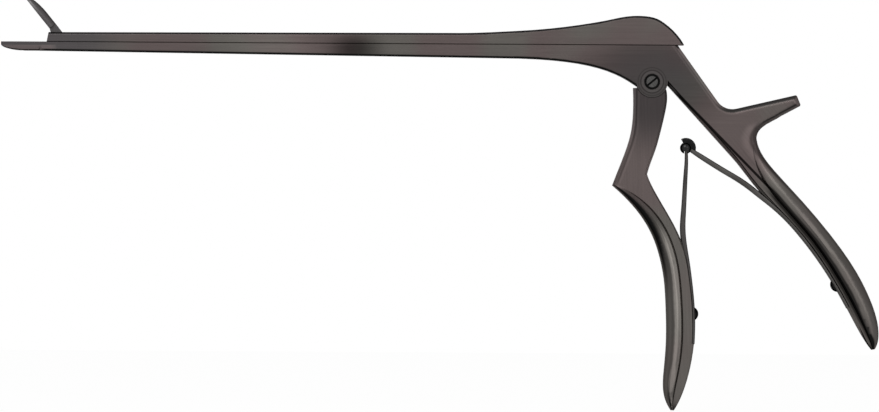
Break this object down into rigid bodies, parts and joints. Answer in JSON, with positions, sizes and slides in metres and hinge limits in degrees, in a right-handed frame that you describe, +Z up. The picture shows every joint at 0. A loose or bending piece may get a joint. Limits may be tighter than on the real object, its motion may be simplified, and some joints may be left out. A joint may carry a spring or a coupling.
{
  "type": "disc rongeur",
  "caption": "Long sliding-shaft surgical forceps with a cupped biting upper jaw that opens upward, pistol handles with a thumb spur and ball-and-hook leaf springs.",
  "frame": {"origin": "deepest point of the saddle under the thumb spur, in the middle plane, where the web of the hand bears", "axes": "+X from the jaws to the handles along the shaft, +Z up as held, Y across the part with Y = 0 as the middle plane"},
  "size_m": [0.2638, 0.0092, 0.1227],
  "materials": {
    "frame": "dark coated, brushed",
    "slider": "dark coated, brushed",
    "upper_jaw": "dark coated, brushed",
    "jaw_pivot_pin": "dark coated",
    "jaw_drive_pin": "dark coated",
    "front_handle": "dark coated, brushed",
    "handle_pivot_screw": "dark coated, glossy",
    "front_leaf_spring": "dark coated, smooth",
    "rear_leaf_spring": "dark coated, smooth",
    "spring_ball": "dark coated, glossy",
    "front_spring_screw": "dark coated, glossy",
    "rear_spring_screw": "dark coated, glossy"
  },
  "bodies": {
    "body": {"frame": "frame", "jaw_pivot_pin": "jaw_pivot_pin", "handle_pivot_screw": "handle_pivot_screw", "rear_spring_screw": "rear_spring_screw"},
    "sliding_shaft": {"slider": "slider", "jaw_drive_pin": "jaw_drive_pin"},
    "jaw": {"upper_jaw": "upper_jaw"},
    "handle": {"front_handle": "front_handle", "front_spring_screw": "front_spring_screw"},
    "front_leaf": {"front_leaf_spring": "front_leaf_spring", "spring_ball": "spring_ball"},
    "rear_leaf": {"rear_leaf_spring": "rear_leaf_spring"}
  },
  "joints": [
    {"name": "handle_turn", "type": "hinge", "parent": "body", "child": "handle", "pos_m": [-0.0315, 0, 0.0165], "axis": [0, -1, 0], "range_deg": [0, 9.98], "stiffness_Nm_per_rad": 3, "springref_deg": -2.86},
    {"name": "shaft_slide", "type": "slide", "parent": "body", "child": "sliding_shaft", "axis": [-1, 0, 0], "range_m": [0, 0.00219]},
    {"name": "jaw_turn", "type": "hinge", "parent": "body", "child": "jaw", "pos_m": [-0.2096, 0, 0.02625], "axis": [0, -1, 0], "range_deg": [0, 51]},
    {"name": "front_leaf_bend", "type": "hinge", "parent": "handle", "child": "front_leaf", "pos_m": [-0.02188, 0, -0.02515], "axis": [0, -1, 0], "range_deg": [0, 5.94], "deforming": ["front_leaf_spring"]},
    {"name": "rear_leaf_bend", "type": "hinge", "parent": "body", "child": "rear_leaf", "pos_m": [-0.00403, 0, -0.01333], "axis": [0, -1, 0], "range_deg": [-5.83, 0], "deforming": ["rear_leaf_spring"]}
  ],
  "couplings": [
    {"joint": "shaft_slide", "follows": "handle_turn", "m_per_rad": 0.012584},
    {"joint": "jaw_turn", "follows": "handle_turn", "ratio": 5.105},
    {"joint": "front_leaf_bend", "follows": "handle_turn", "ratio": 0.5951},
    {"joint": "rear_leaf_bend", "follows": "handle_turn", "ratio": -0.584}
  ]
}
